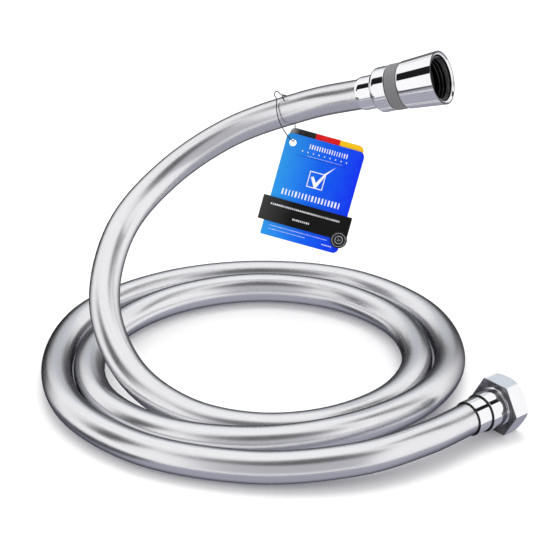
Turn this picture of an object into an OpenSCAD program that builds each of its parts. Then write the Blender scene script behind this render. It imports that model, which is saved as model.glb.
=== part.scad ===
// Coiled hand shower hose with a swivelling cone nut, a hexagon nut and a hang tag.
// Millimetres, +Z up, floor at z = 0. The cone end is held up, the hexagon end lies on the floor.

/* [Hose] */
// Outside diameter of the hose
hose_d = 14; // [11:0.1:15]
// Wall of the smooth outer jacket
jacket_wall = 1.2; // [0.8:0.1:1.6]
// Thickness of the woven layer
braid_wall = 0.4; // [0.3:0.05:0.6]
// Wall of the inner tube
liner_wall = 0.8; // [0.5:0.1:1.2]

/* [Coil] */
// Radius of the hose's middle line where the coil begins
coil_r = 61; // [58:1:90]
// Space left between one turn and the next
turn_gap = 0.5; // [0.5:0.1:3]
// Height of the cone end above the floor, to the middle of the hose
cone_height = 115.8; // [100:0.1:150]
// Rise of the cone end above level, in degrees
cone_rise = 19.5; // [10:0.5:30]

/* [Cone end] */
// Length of the ferrule that shows behind the sleeve
cone_ferrule_len = 7.9; // [5:0.1:12]
// Length of the rounded sleeve
cone_sleeve_len = 8.6; // [7:0.1:14]
// Outside diameter of the sleeve
cone_sleeve_d = 20.8; // [20:0.1:24]
// Length of the matte bearing ring that shows
bearing_len = 6.2; // [4:0.1:10]
// Outside diameter of the bearing ring
bearing_d = 21.3; // [20:0.1:24]
// Length of the cone nut
cone_nut_len = 18.5; // [17:0.1:26]
// Diameter of the cone nut beside the bearing ring
cone_nut_d = 21.8; // [21:0.1:26]
// Diameter of the cone nut at its mouth
cone_mouth_d = 24.5; // [23:0.1:30]

/* [Hexagon end] */
// Length of the slim first ring
hex_ring_len = 7.5; // [4:0.1:12]
// Length of the thicker second ring
hex_grip_len = 8.6; // [8:0.1:14]
// Length of the hexagon nut
hex_nut_len = 8.9; // [8:0.1:14]
// Hexagon nut, across the flats
hex_af = 23; // [22.5:0.1:30]

/* [Tie and tag] */
// Thickness of the tie wire
wire_d = 0.7; // [0.5:0.1:1]
// Width of the blue card
tag_w = 38; // [30:0.1:50]
// Height of the blue card
tag_h = 50; // [40:0.5:70]
// Thickness of each card
card_t = 0.5; // [0.3:0.05:1]
// How far the striped card stands out above the blue one
backing_show = 2.7; // [1:0.1:6]
// Height of the paper band round the cards
band_h = 11.6; // [6:0.1:16]
// Diameter of the round seal
seal_d = 8; // [6:0.1:12]
// Lean of the cards from upright, in degrees
tag_lean = 17; // [0:1:25]
// Turn of the cards in their own plane, in degrees
tag_turn = -15.5; // [-30:0.5:5]

/* [Hidden] */
// where the middle of the coil lies, with the middle of the fittings and tag at the origin
coil_middle = [-58.9, -4.3, 0];

// standard half inch pipe thread, plain bore at its minor diameter
thread_d = 18.64;
thread_mouth_d = 21.2;
thread_seat_d = 19.8;

hose_r = hose_d / 2;
pitch = hose_d + turn_gap;
hose_sides = 12;
rings_per_step = 2;
layer_gap = 0.1;
press_gap = 0.05;
run_gap = 0.05;
face_gap = 0.15;
cone_grip_len = cone_ferrule_len + cone_sleeve_len - 2.5;
hex_grip_depth = hex_ring_len + hex_grip_len - 2.1;
mouth_flare = 0.2;
lead_len = 30;
end_wall = 1.1;

jacket_in = hose_r - jacket_wall;
braid_out = jacket_in - layer_gap;
braid_in = braid_out - braid_wall;
liner_out = braid_in - layer_gap;
liner_in = liner_out - liner_wall;
waterway_r = 3.1;
barb_r = liner_in * cos(15) - press_gap;
barb_root_r = barb_r - 0.6;

// the rise to the cone end: angle, push out from an even spiral, height off the floor
riser = [[100, 19, 83.5], [125, 20, 65.5]];
// the same push and height every 30 degrees, from 150 to 990 degrees
turn_start = 150;
turn_step = 30;
turns = [
    [17, 48], [11, 29], [6, 12.5], [3, 3.5], [3, 0.5], [4.5, 0], [7, 0],
    [9, 0], [10, 0], [9.5, 0], [7.5, 0], [4.5, 0], [3, 0], [4, 0.5],
    [4.5, 0], [4, 1], [3.5, 2.5], [4, 3.5], [7, 3], [9.5, 0.5], [12, 0],
    [11.5, 0], [8, 0], [7, 0], [7.5, 0], [4.5, 0], [4.5, 0], [4, 0], [5.5, 0.5]
];
cone_place = [48.3, 20.9, cone_height - hose_r];
cone_heading = -26;
hex_place = [1045.2, 18, (hex_af - hose_d) / 2];
hex_heading = 40.5;
tail_place = [1014, 11.5, 3];
hex_lead_len = 26;

function spiral_r(angle) = coil_r + pitch * (angle - 270) / 360;
function place(p) = coil_middle + [
    (spiral_r(p[0]) + p[1]) * cos(p[0]),
    (spiral_r(p[0]) + p[1]) * sin(p[0]),
    hose_r + p[2]
];
function heading_to(heading, rise) = [
    cos(heading) * cos(rise),
    sin(heading) * cos(rise),
    sin(rise)
];
function unit(v) = v / norm(v);

cone_start = place(cone_place);
cone_way = heading_to(cone_heading, cone_rise);
hex_start = place(hex_place);
hex_way = heading_to(hex_heading, 0);

route = concat(
    [cone_start + cone_way * cone_grip_len, cone_start, cone_start - cone_way * lead_len],
    [for (p = riser) place(p)],
    [for (i = [0 : len(turns) - 1]) place([turn_start + i * turn_step, turns[i][0], turns[i][1]])],
    [place(tail_place), hex_start - hex_way * hex_lead_len, hex_start, hex_start + hex_way * hex_grip_depth]
);

// a smooth curve through four points in a row, between the second and the third
function curve(a, b, c, d, t) =
    (2 * b + (c - a) * t + (2 * a - 5 * b + 4 * c - d) * t * t + (3 * b - a - 3 * c + d) * t * t * t) / 2;
function route_point(i, t) = curve(route[i - 1], route[i], route[i + 1], route[i + 2], t);
function on_floor(p) = [p[0], p[1], max(p[2], coil_middle[2] + hose_r)];

last = len(route) - 1;
hose_line = concat(
    [route[0]],
    [for (i = [1 : last - 2], j = [0 : rings_per_step - 1]) on_floor(route_point(i, j / rings_per_step))],
    [route[last - 1], route[last]]
);

// the direction of a line of points at one of them
function way(line, i) = unit(line[min(i + 1, len(line) - 1)] - line[max(i - 1, 0)]);
function side_of(w) = unit(cross(w, [0, 0, 1]));
function ring(line, i, r, sides) = [
    for (k = [0 : sides - 1])
        let (w = way(line, i), s = side_of(w), u = cross(s, w), a = k * 360 / sides - 90)
            line[i] + r * (cos(a) * s + sin(a) * u)
];

module hollow_sweep(line, r_out, r_in, sides) {
    n = len(line);
    inner = n * sides;
    outer_points = [for (i = [0 : n - 1]) each ring(line, i, r_out, sides)];
    inner_points = [for (i = [0 : n - 1]) each ring(line, i, r_in, sides)];
    outer_faces = [
        for (i = [0 : n - 2], k = [0 : sides - 1])
            let (a = i * sides + k, b = i * sides + (k + 1) % sides)
                each [[a, a + sides, b + sides], [a, b + sides, b]]
    ];
    inner_faces = [
        for (i = [0 : n - 2], k = [0 : sides - 1])
            let (a = inner + i * sides + k, b = inner + i * sides + (k + 1) % sides)
                each [[a, b + sides, a + sides], [a, b, b + sides]]
    ];
    end_faces = [
        for (k = [0 : sides - 1])
            let (a = k, b = (k + 1) % sides, e = (n - 1) * sides)
                each [[a, b, inner + b, inner + a], [e + b, e + a, inner + e + a, inner + e + b]]
    ];
    polyhedron(
        points = concat(outer_points, inner_points),
        faces = concat(outer_faces, inner_faces, end_faces),
        convexity = 12
    );
}

module solid_sweep(points, r, sides) {
    n = len(points) / sides;
    e = (n - 1) * sides;
    skin = [
        for (i = [0 : n - 2], k = [0 : sides - 1])
            let (a = i * sides + k, b = i * sides + (k + 1) % sides)
                each [[a, a + sides, b + sides], [a, b + sides, b]]
    ];
    caps = [[for (k = [0 : sides - 1]) k], [for (k = [0 : sides - 1]) e + sides - 1 - k]];
    polyhedron(points = points, faces = concat(skin, caps), convexity = 8);
}

module at_cone() {
    translate(cone_start) rotate([0, 90 - cone_rise, cone_heading]) children();
}

module at_hex() {
    translate(hex_start) rotate([0, 90, hex_heading]) rotate([0, 0, 30]) children();
}

// ---- hose

module hose_jacket() {
    color([0.82, 0.82, 0.86])
        hollow_sweep(hose_line, hose_r, jacket_in, hose_sides);
}

module hose_braid() {
    color([0.9, 0.9, 0.92])
        hollow_sweep(hose_line, braid_out, braid_in, hose_sides);
}

module hose_liner() {
    color([0.6, 0.62, 0.66])
        hollow_sweep(hose_line, liner_out, liner_in, hose_sides);
}

// ---- cone end, along its own axis from the start of the ferrule

cone_ferrule_r = hose_r + 0.8;
cone_grip_end = cone_grip_len + face_gap;
cone_ferrule_end = cone_grip_end + end_wall;
sleeve_start = cone_ferrule_len;
sleeve_end = sleeve_start + cone_sleeve_len;
bearing_start = sleeve_end + 0.4;
bearing_end = sleeve_end + bearing_len;
nut_start = bearing_end + face_gap;
nut_end = sleeve_end + bearing_len + cone_nut_len;
neck_r = 4.6;
journal_r = 6;
spigot_r = 8.6;
spigot_end = bearing_end + 3.4;
chamber_r = spigot_r + run_gap;
tail_flange_r = 8;
tail_flange_t = 1.4;
tail_flange_start = spigot_end + face_gap;
tail_flange_end = tail_flange_start + tail_flange_t;
oring_t = 1.5;
oring_in = 5.9;
web_start = tail_flange_end + oring_t + 2 * face_gap;
web_end = web_start + 1.5;
nose_r = 5.5;
nose_end = web_end;
washer_t = 1.8;
cone_seat_end = web_end + washer_t + face_gap;

module cone_ferrule() {
    color([0.78, 0.79, 0.82])
    at_cone() difference() {
        rotate_extrude($fn = 64) polygon([
            [0, 0], [cone_ferrule_r - 0.35, 0], [cone_ferrule_r, 1.4],
            [cone_ferrule_r, cone_ferrule_end], [0, cone_ferrule_end]
        ]);
        translate([0, 0, -1]) cylinder(h = cone_grip_end + 1, r = hose_r + press_gap, $fn = 64);
        translate([0, 0, -0.05])
            cylinder(h = 1, r1 = hose_r + press_gap + mouth_flare, r2 = hose_r + press_gap, $fn = 64);
        cylinder(h = cone_ferrule_end + 1, r = neck_r + press_gap, $fn = 48);
    }
}

module cone_tail() {
    color([0.8, 0.66, 0.35])
    at_cone() difference() {
        rotate_extrude($fn = 64) polygon([
            [0, 1], [barb_root_r, 1], [barb_r, 3], [barb_root_r, 3],
            [barb_root_r, 4], [barb_r, 6], [barb_root_r, 6],
            [barb_root_r, 7], [barb_r, 9], [barb_root_r, 9],
            [barb_root_r, 10], [barb_r, 12], [barb_root_r, 12],
            [barb_root_r, cone_grip_end], [neck_r, cone_grip_end],
            [neck_r, cone_ferrule_end + press_gap], [journal_r, cone_ferrule_end + press_gap],
            [journal_r, tail_flange_start], [tail_flange_r, tail_flange_start],
            [tail_flange_r, tail_flange_end], [nose_r, tail_flange_end],
            [nose_r, nose_end - 0.4], [nose_r - 0.4, nose_end], [0, nose_end]
        ]);
        cylinder(h = nose_end + 1, r = waterway_r, $fn = 48);
    }
}

module cone_sleeve() {
    shoulder_r = 2.4;
    sleeve_r = cone_sleeve_d / 2;
    color([0.75, 0.77, 0.8])
    at_cone() difference() {
        rotate_extrude($fn = 72) polygon(concat(
            [[0, sleeve_start], [cone_ferrule_r + 0.5, sleeve_start]],
            [for (a = [0 : 15 : 90]) [
                sleeve_r - shoulder_r + shoulder_r * sin(a) - 0.1,
                sleeve_start + 0.2 + shoulder_r * (1 - cos(a))
            ]],
            [[sleeve_r, sleeve_end - 0.3], [sleeve_r - 0.3, sleeve_end], [0, sleeve_end]]
        ));
        translate([0, 0, sleeve_start - 1])
            cylinder(h = cone_ferrule_end - sleeve_start + 1.05, r = cone_ferrule_r + press_gap, $fn = 64);
        cylinder(h = sleeve_end + 1, r = journal_r + press_gap, $fn = 64);
    }
}

module slip_washer() {
    color([0.93, 0.93, 0.9])
    at_cone() translate([0, 0, sleeve_end + 0.05]) difference() {
        cylinder(h = 0.3, r = bearing_d / 2 - 1.2, $fn = 64);
        translate([0, 0, -1]) cylinder(h = 3, r = journal_r + run_gap, $fn = 64);
    }
}

module bearing_ring() {
    band_r = bearing_d / 2;
    color([0.68, 0.69, 0.71])
    at_cone() difference() {
        rotate_extrude($fn = 72) polygon([
            [0, bearing_start], [band_r - 0.2, bearing_start], [band_r, bearing_start + 0.2],
            [band_r, bearing_end - 0.2], [band_r - 0.2, bearing_end], [spigot_r, bearing_end],
            [spigot_r, spigot_end], [0, spigot_end]
        ]);
        translate([0, 0, bearing_start - 1])
            cylinder(h = spigot_end, r = journal_r + run_gap, $fn = 64);
    }
}

module swivel_oring() {
    color([0.06, 0.06, 0.06])
    at_cone() translate([0, 0, tail_flange_end + face_gap + oring_t / 2])
        rotate_extrude($fn = 48) translate([oring_in + oring_t / 2, 0]) circle(d = oring_t, $fn = 16);
}

module cone_nut() {
    rear_r = cone_nut_d / 2;
    mouth_r = cone_mouth_d / 2;
    color([0.82, 0.83, 0.86])
    at_cone() difference() {
        rotate_extrude($fn = 96) polygon([
            [0, nut_start], [rear_r - 0.3, nut_start], [rear_r, nut_start + 0.3],
            [mouth_r, nut_end - 0.4], [mouth_r - 0.4, nut_end], [0, nut_end]
        ]);
        translate([0, 0, nut_start - 1])
            cylinder(h = web_start - nut_start + 1, r = chamber_r, $fn = 72);
        translate([0, 0, nut_start])
            cylinder(h = nut_end - nut_start, r = nose_r + 0.2, $fn = 64);
        translate([0, 0, web_end])
            cylinder(h = cone_seat_end - web_end, d = thread_seat_d, $fn = 72);
        translate([0, 0, web_end])
            cylinder(h = nut_end - web_end + 1, d = thread_d, $fn = 72);
        translate([0, 0, nut_end - 1.2])
            cylinder(h = 1.3, d1 = thread_d, d2 = thread_mouth_d, $fn = 72);
    }
}

module cone_washer() {
    color([0.1, 0.1, 0.11])
    at_cone() translate([0, 0, web_end + press_gap]) difference() {
        cylinder(h = washer_t, d = thread_d - 0.2, $fn = 64);
        translate([0, 0, -1]) cylinder(h = washer_t + 2, r = nose_r + 0.2, $fn = 48);
    }
}

// ---- hexagon end, along its own axis from the start of the slim ring

hex_ring_r = hose_r + 0.7;
hex_grip_r = hose_r + 1.5;
hex_ferrule_end = hex_ring_len + hex_grip_len;
hex_grip_end = hex_grip_depth + face_gap;
hex_nut_start = hex_ferrule_end + face_gap;
hex_nut_end = hex_ferrule_end + hex_nut_len;
hex_rear_wall = 1.8;
hex_neck_r = 6;
hex_flange_r = 8.4;
hex_flange_start = hex_nut_start + hex_rear_wall + face_gap;
hex_flange_t = 1.4;
hex_washer_start = hex_flange_start + hex_flange_t + press_gap;
hex_seat_end = hex_washer_start + washer_t + face_gap;

module hex_ferrule() {
    color([0.72, 0.73, 0.76])
    at_hex() difference() {
        rotate_extrude($fn = 64) polygon([
            [0, 0], [hex_ring_r - 0.2, 0], [hex_ring_r, 0.2],
            [hex_ring_r, hex_ring_len], [hex_grip_r - 0.3, hex_ring_len],
            [hex_grip_r, hex_ring_len + 0.3], [hex_grip_r, hex_ferrule_end - 0.3],
            [hex_grip_r - 0.3, hex_ferrule_end], [0, hex_ferrule_end]
        ]);
        translate([0, 0, -1]) cylinder(h = hex_grip_end + 1, r = hose_r + press_gap, $fn = 64);
        translate([0, 0, -0.05])
            cylinder(h = 1, r1 = hose_r + press_gap + mouth_flare, r2 = hose_r + press_gap, $fn = 64);
        cylinder(h = hex_ferrule_end + 1, r = neck_r + press_gap, $fn = 48);
    }
}

module hex_tail() {
    step_z = hex_ferrule_end + press_gap;
    color([0.8, 0.66, 0.35])
    at_hex() difference() {
        rotate_extrude($fn = 64) polygon([
            [0, 1], [barb_root_r, 1], [barb_r, 3], [barb_root_r, 3],
            [barb_root_r, 4], [barb_r, 6], [barb_root_r, 6],
            [barb_root_r, 7], [barb_r, 9], [barb_root_r, 9],
            [barb_root_r, 10], [barb_r, 12], [barb_root_r, 12],
            [barb_root_r, hex_grip_end], [neck_r, hex_grip_end],
            [neck_r, step_z], [hex_neck_r, step_z],
            [hex_neck_r, hex_flange_start], [hex_flange_r, hex_flange_start],
            [hex_flange_r, hex_flange_start + hex_flange_t], [0, hex_flange_start + hex_flange_t]
        ]);
        cylinder(h = hex_flange_start + 5, r = waterway_r, $fn = 48);
    }
}

module hex_nut() {
    corner_r = hex_af / 2 / cos(30);
    color([0.85, 0.86, 0.88])
    at_hex() difference() {
        intersection() {
            translate([0, 0, hex_nut_start])
                cylinder(h = hex_nut_end - hex_nut_start, r = corner_r, $fn = 6);
            rotate_extrude($fn = 72) polygon([
                [0, hex_nut_start], [hex_af / 2 - 0.4, hex_nut_start],
                [corner_r, hex_nut_start + 1], [corner_r, hex_nut_end - 0.8],
                [hex_af / 2, hex_nut_end], [0, hex_nut_end]
            ]);
        }
        cylinder(h = hex_nut_end, r = hex_neck_r + run_gap, $fn = 64);
        translate([0, 0, hex_nut_start + hex_rear_wall])
            cylinder(h = hex_seat_end - hex_nut_start - hex_rear_wall, d = thread_seat_d, $fn = 72);
        translate([0, 0, hex_nut_start + hex_rear_wall])
            cylinder(h = hex_nut_len, d = thread_d, $fn = 72);
        translate([0, 0, hex_nut_end - 1])
            cylinder(h = 1.1, d1 = thread_d, d2 = thread_mouth_d, $fn = 72);
    }
}

module hex_washer() {
    color([0.1, 0.1, 0.11])
    at_hex() translate([0, 0, hex_washer_start]) difference() {
        cylinder(h = washer_t, d = thread_d - 0.2, $fn = 64);
        translate([0, 0, -1]) cylinder(h = washer_t + 2, r = waterway_r + 1.4, $fn = 48);
    }
}

// ---- wire loop over the hose, drawn round the hose's middle: along, away, up

tie_step = 2;
tie_part = 0.3;
tie_at = route_point(tie_step, tie_part);
tie_way = unit(route_point(tie_step, tie_part - 0.05) - route_point(tie_step, tie_part + 0.05));
tie_heading = atan2(tie_way[1], tie_way[0]);
tie_rise = asin(tie_way[2]);
wire_sides = 8;
seat_gap = 0.4;
loop_r = hose_r + wire_d / 2 + seat_gap;

// each point of the wire: place along the hose, angle from the top over the front, space outside the loop
wire_low_turn = [-0.8, 175.2, 7.1];
wire_turns = [
    [4.6, 22, 1.2], [3.2, 20, 1.3], [1.9, 14, 2.2], [1, 10, 3.2], [0.1, 12, 3.5], [-0.6, 17, 2.7],
    [-0.3, 21, 1.6], [-0.2, 28, 0.8], [-0.4, 42, 0.6], [-0.6, 60, 1], [-0.8, 78, 1.5],
    [-0.9, 96, 1.8], [-0.9, 115, 2.2], [-0.8, 135, 3.2], [-0.7, 152, 4.8], [-0.6, 164, 6.1],
    [-0.6, 170.7, 6.9], wire_low_turn, [-1, 179.6, 7.2], [-0.7, 184.6, 6.4], [0.1, 190.9, 4.6],
    [0.8, 202, 2.6], [1.3, 220, 1], [1.6, 245, 0.4], [1.6, 270, 0.2], [1.6, 295, 0.1],
    [1.5, 320, 0], [1.5, 341, 0], [1.8, 359, 0], [2.2, 374, 0.1], [2.8, 388, 0.3]
];
function round_hose(p) = [p[0], -(loop_r + p[2]) * sin(p[1]), (loop_r + p[2]) * cos(p[1])];
tie_points = [for (p = wire_turns) round_hose(p)];
wire_low = round_hose(wire_low_turn);

// a frame carried along a line without twist, kept as direction and side
function carry(side, w) = unit(side - (side * w) * w);
function sides_along(line, i) =
    i == 0 ? carry([0.2, 0.1, 1], way(line, 0)) : carry(sides_along(line, i - 1), way(line, i));

module tie_wire() {
    color([0.15, 0.15, 0.16])
    translate(tie_at) rotate([0, -tie_rise, tie_heading])
        solid_sweep([
            for (i = [0 : len(tie_points) - 1])
                let (w = way(tie_points, i), s = sides_along(tie_points, i), u = cross(s, w))
                    for (k = [0 : wire_sides - 1])
                        let (a = k * 360 / wire_sides)
                            tie_points[i] + wire_d / 2 * (cos(a) * s + sin(a) * u)
        ], wire_d / 2, wire_sides);
}

// ---- cards, drawn flat from the point where the wire carries them

hole_r = 1.7;
hole_left = 3.6;
hole_down = 4.4;
hang = 0.7;
card_gap = 0.1;
corner_r = 2.6;
band_left = 3;
band_right = 2.4;
band_t = 0.25;
band_up = 6.9;

function turn_z(v, a) = [v[0] * cos(a) - v[1] * sin(a), v[0] * sin(a) + v[1] * cos(a), v[2]];
function turn_y(v, a) = [v[0] * cos(a) + v[2] * sin(a), v[1], v[2] * cos(a) - v[0] * sin(a)];
wire_point = tie_at + turn_z(turn_y(wire_low, -tie_rise), tie_heading);

module at_tag() {
    translate(wire_point) rotate([90 - tag_lean, 0, 0]) rotate([0, 0, tag_turn])
        translate([-hole_left + hang * sin(tag_turn), hole_down - hang * cos(tag_turn), 0]) children();
}

module card_outline(left, top, w, h) {
    hull() {
        translate([left + corner_r, top - corner_r]) circle(r = corner_r, $fn = 32);
        translate([left + w - corner_r, top - corner_r]) circle(r = corner_r, $fn = 32);
        translate([left + w - corner_r, top - h + corner_r]) circle(r = corner_r, $fn = 32);
        translate([left, top - h]) square([1, 1]);
    }
}

module tag_card() {
    color([0.05, 0.35, 0.95])
    at_tag() difference() {
        linear_extrude(height = card_t) card_outline(0, 0, tag_w, tag_h);
        translate([hole_left, -hole_down, -1]) cylinder(h = card_t + 2, r = hole_r, $fn = 32);
    }
}

module tag_backing() {
    color([0.9, 0.9, 0.92])
    at_tag() translate([0, 0, -card_t - card_gap]) difference() {
        linear_extrude(height = card_t)
            card_outline(1, backing_show, tag_w - 2, tag_h + backing_show - 3);
        translate([hole_left, -hole_down, -1]) cylinder(h = card_t + 2, r = hole_r, $fn = 32);
    }
}

module band_outline(grow) {
    band_r = card_t + card_gap / 2 + 0.15 + grow;
    hull() {
        translate([-band_left + band_r - grow, -card_gap / 2]) circle(r = band_r, $fn = 24);
        translate([tag_w + band_right - band_r + grow, -card_gap / 2]) circle(r = band_r, $fn = 24);
    }
}

module tag_band() {
    color([0.07, 0.07, 0.07])
    at_tag() translate([0, -tag_h + band_up, 0]) rotate([-90, 0, 0]) mirror([0, 1, 0])
        linear_extrude(height = band_h) difference() {
            band_outline(band_t);
            band_outline(0);
        }
}

module tag_seal() {
    face = card_t + 0.15 + band_t + 0.05;
    color([0.05, 0.05, 0.05])
    at_tag() translate([tag_w - 1.1, -tag_h + band_up, face]) difference() {
        cylinder(h = 0.35, d = seal_d, $fn = 48);
        translate([0, 0, 0.25]) difference() {
            cylinder(h = 1, d = seal_d - 1, $fn = 48);
            translate([0, 0, -1]) cylinder(h = 3, d = seal_d - 1.8, $fn = 48);
        }
    }
}

hose_jacket();
hose_braid();
hose_liner();
cone_ferrule();
cone_tail();
cone_sleeve();
slip_washer();
bearing_ring();
swivel_oring();
cone_nut();
cone_washer();
hex_ferrule();
hex_tail();
hex_nut();
hex_washer();
tie_wire();
tag_card();
tag_backing();
tag_band();
tag_seal();
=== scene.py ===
import math

import bmesh
import bpy
import numpy as np
from mathutils import Matrix, Vector


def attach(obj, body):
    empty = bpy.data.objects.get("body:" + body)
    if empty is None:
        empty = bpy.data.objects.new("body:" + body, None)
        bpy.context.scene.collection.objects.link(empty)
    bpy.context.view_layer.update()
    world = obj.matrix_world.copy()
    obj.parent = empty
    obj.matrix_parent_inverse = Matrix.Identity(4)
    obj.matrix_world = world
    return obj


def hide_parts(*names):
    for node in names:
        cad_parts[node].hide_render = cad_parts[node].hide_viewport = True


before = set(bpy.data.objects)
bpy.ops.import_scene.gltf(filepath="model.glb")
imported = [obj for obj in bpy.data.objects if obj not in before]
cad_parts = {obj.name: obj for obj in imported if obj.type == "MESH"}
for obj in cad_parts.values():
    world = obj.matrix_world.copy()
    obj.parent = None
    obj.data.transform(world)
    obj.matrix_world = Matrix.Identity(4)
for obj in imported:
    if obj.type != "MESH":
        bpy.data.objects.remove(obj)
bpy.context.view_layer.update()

MM = 0.001


# Camera. A long lens a little above the coil, looking down on it from the
# front, level from side to side.
def linked(name, data):
    """An object at the origin for a mesh, camera or lamp, put in the scene."""
    made = bpy.data.objects.new(name, data)
    bpy.context.scene.collection.objects.link(made)
    return made


camera_data = bpy.data.cameras.new("camera")
camera_data.sensor_width = 36.0
camera_data.lens = 115.3
camera = linked("camera", camera_data)
camera.location = (-0.0481, -0.7307, 0.3921)
camera.rotation_euler = (math.radians(64.59), 0.0, 0.0)
bpy.context.scene.camera = camera
bpy.context.scene.view_settings.view_transform = "Standard"


# Hose. A smooth PVC jacket with a satin silver lacquer under a clear skin, over
# a polyester weave and a water tube. It is extruded round them in one length,
# lies in a loose coil of a little over two turns and rises to the cone end.
hose_d = 14.0
jacket_wall = 1.2
weave_wall = 0.4
tube_wall = 0.8
layer_gap = 0.1
turn_gap = 0.5
coil_r = 61.0
coil_middle = Vector((-58.9, -4.3, 0.0))
cone_height = 115.8
hex_af = 23.0
cone_grip = 14.0
hex_grip = 14.0
hose_r = hose_d / 2
pitch = hose_d + turn_gap


def laid(angle, push, lift):
    """A place on the coil in millimetres: angle, push out from an even spiral, height off the floor."""
    turn = math.radians(angle)
    out = coil_r + pitch * (angle - 270.0) / 360.0 + push
    return coil_middle + Vector((out * math.cos(turn), out * math.sin(turn), hose_r + lift))


def heading(around, rise):
    """The direction that points around degrees from +X and rise degrees up."""
    a, r = math.radians(around), math.radians(rise)
    return Vector((math.cos(a) * math.cos(r), math.sin(a) * math.cos(r), math.sin(r)))


cone_start, cone_way = laid(48.3, 20.9, cone_height - hose_r), heading(-26.0, 19.5)
hex_start, hex_way = laid(1045.2, 18.0, (hex_af - hose_d) / 2), heading(40.5, 0.0)
rise_of_hose = [(100, 19, 83.5), (125, 20, 65.5)]
turns_of_hose = [
    (17, 48), (11, 29), (6, 12.5), (3, 3.5), (3, 0.5), (4.5, 0), (7, 0),
    (9, 0), (10, 0), (9.5, 0), (7.5, 0), (4.5, 0), (3, 0), (4, 0.5),
    (4.5, 0), (4, 1), (3.5, 2.5), (4, 3.5), (7, 3), (9.5, 0.5), (12, 0),
    (11.5, 0), (8, 0), (7, 0), (7.5, 0), (4.5, 0), (4.5, 0), (4, 0), (5.5, 0.5),
]
hose_route = [cone_start + cone_way * cone_grip, cone_start, cone_start - cone_way * 30]
hose_route += [laid(*place) for place in rise_of_hose]
hose_route += [laid(150 + 30 * i, *place) for i, place in enumerate(turns_of_hose)]
hose_route += [laid(1014, 11.5, 3), hex_start - hex_way * 26, hex_start, hex_start + hex_way * hex_grip]


def between(points, i, t):
    """A point on the smooth curve through points, a share t of the way from point i to the next."""
    a, b, c, d = points[i - 1 : i + 3]
    return (2 * b + (c - a) * t + (2 * a - 5 * b + 4 * c - d) * t**2 + (3 * b - a - 3 * c + d) * t**3) / 2


hose_line = [hose_route[0]]
for i in range(1, len(hose_route) - 2):
    for j in range(8):
        spot = between(hose_route, i, j / 8)
        hose_line.append(Vector((spot.x, spot.y, max(spot.z, hose_r))))
hose_line += hose_route[-2:]
hose_line = [spot * MM for spot in hose_line]


def smoothed(mesh, angle):
    """Shades a mesh smooth, apart from edges sharper than the angle in degrees."""
    mesh.polygons.foreach_set("use_smooth", [True] * len(mesh.polygons))
    mesh.set_sharp_from_angle(angle=math.radians(angle))


def piece(name, verts, faces, uvs=None):
    """A mesh object at the origin, shaded smooth apart from its sharp edges."""
    mesh = bpy.data.meshes.new(name)
    mesh.from_pydata([tuple(v) for v in verts], [], faces)
    if uvs is not None:
        layer = mesh.uv_layers.new(name="UVMap")
        layer.data.foreach_set("uv", np.asarray(uvs, dtype=np.float32).ravel())
    smoothed(mesh, 35)
    return linked(name, mesh)


def ring_frames(line):
    """Two directions square to the line at each of its points, the second one upward."""
    frames = []
    for i in range(len(line)):
        way = (line[min(i + 1, len(line) - 1)] - line[max(i - 1, 0)]).normalized()
        side = way.cross(Vector((0, 0, 1))).normalized()
        frames.append((side, side.cross(way)))
    return frames


def grid_faces(rows, count, closed=True):
    """Quads between rows of count points, each row a ring, and the last row joined to the first if closed."""
    faces = []
    for k in range(rows if closed else rows - 1):
        n = (k + 1) % rows
        for i in range(count):
            j = (i + 1) % count
            faces.append([k * count + i, n * count + i, n * count + j, k * count + j])
    return faces


def hollow_tube(name, line, r_out, r_in, sides):
    """A tube wall along a line. Its UV runs round the tube in x and along it, in metres, in y."""
    run = [0.0]
    for a, b in zip(line, line[1:]):
        run.append(run[-1] + (b - a).length)
    rings = list(zip(line, ring_frames(line), run))
    verts, runs = [], []
    for r, skin in ((r_out, rings), (r_in, rings[::-1])):
        for spot, (side, up), length in skin:
            runs.append(length)
            for k in range(sides):
                a = 2 * math.pi * k / sides - math.pi / 2
                verts.append(spot + r * (math.cos(a) * side + math.sin(a) * up))
    uvs = []
    for here, after in zip(runs, runs[1:] + runs[:1]):
        for k in range(sides):
            near, far = k / sides, (k + 1) / sides
            uvs += [(near, here), (near, after), (far, after), (far, here)]
    return piece(name, verts, grid_faces(len(runs), sides), uvs)


def fill(tree, made, values):
    """Links or sets a node's sockets, by their name or number."""
    for key, value in values.items():
        if isinstance(value, bpy.types.NodeSocket):
            tree.links.new(value, made.inputs[key])
        else:
            made.inputs[key].default_value = value


def node(tree, kind, values=None, **settings):
    """Adds a node with its settings and its sockets' values or links."""
    made = tree.nodes.new(kind)
    for key, value in settings.items():
        setattr(made, key, value)
    fill(tree, made, values or {})
    return made


def maths(tree, operation, first, second=0.0):
    """What one sum, product or the like comes to."""
    return node(tree, "ShaderNodeMath", {0: first, 1: second}, operation=operation).outputs[0]


def mixed(tree, share, first, second):
    """A colour between first and second, at share."""
    return node(tree, "ShaderNodeMix", {0: share, 6: first, 7: second}, data_type="RGBA").outputs[2]


def spread(tree, value, low, high, to_low, to_high, **settings):
    """A value moved from the span low to high into the span to_low to to_high."""
    sockets = {0: value, 1: low, 2: high, 3: to_low, 4: to_high}
    return node(tree, "ShaderNodeMapRange", sockets, **settings).outputs[0]


def noise(tree, where, size, detail, values=None):
    """A noise's value at a place, at the given scale."""
    sockets = {"Vector": where, "Scale": size, "Detail": detail, **(values or {})}
    return node(tree, "ShaderNodeTexNoise", sockets).outputs[0]


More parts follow.
